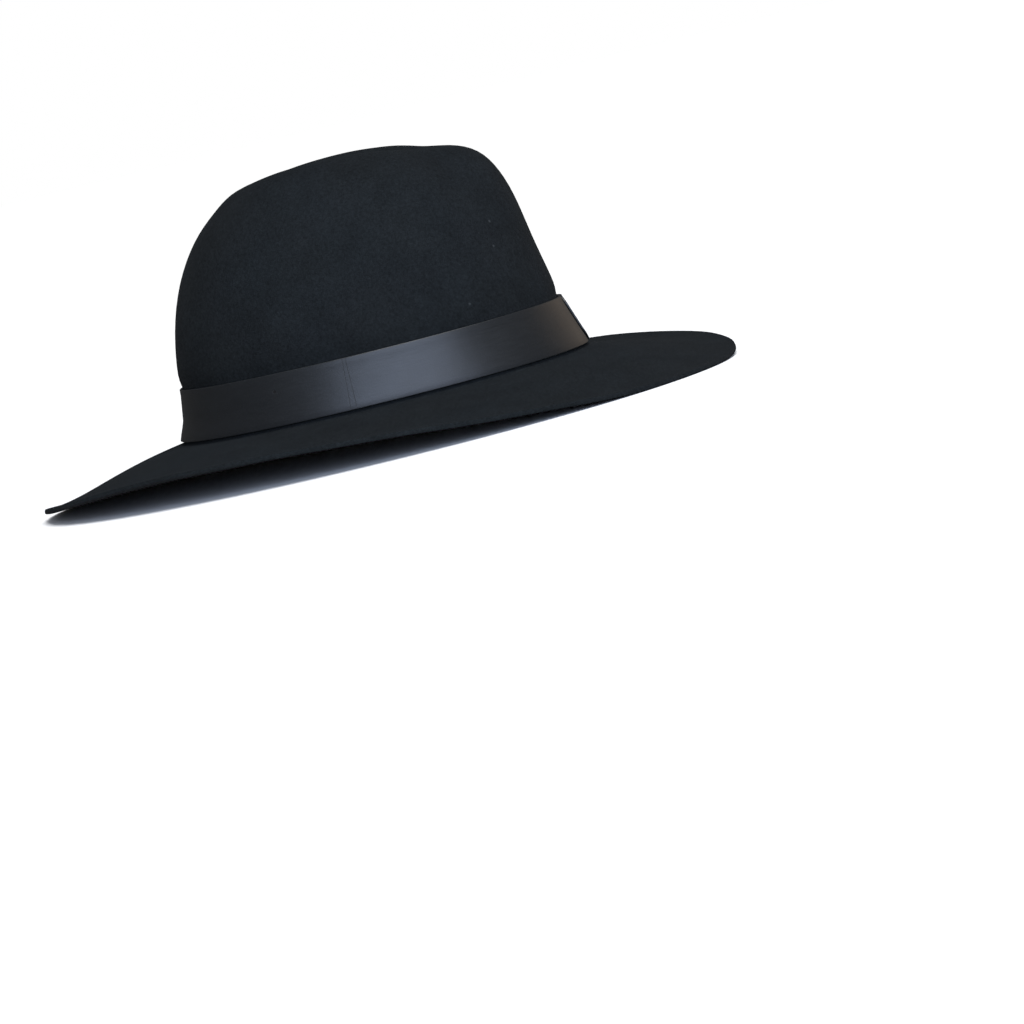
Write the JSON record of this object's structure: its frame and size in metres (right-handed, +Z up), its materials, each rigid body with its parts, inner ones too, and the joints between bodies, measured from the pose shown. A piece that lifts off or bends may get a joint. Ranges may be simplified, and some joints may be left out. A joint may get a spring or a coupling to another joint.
{
  "type": "felt hat",
  "caption": "Wide-brimmed black felt hat with a smooth black leather band, creased crown, resting on its brim.",
  "frame": {"origin": "middle of the hat's footprint, on the surface that the brim rests on", "axes": "-Y towards the wearer's front, +X towards the wearer's left, +Z up through the crown"},
  "size_m": [0.317, 0.351, 0.1406],
  "materials": {
    "black_felt": "matte",
    "black_leather": "satin"
  },
  "bodies": {
    "root": {"felt_body": "black_felt", "hat_band": "black_leather"}
  },
  "joints": []
}
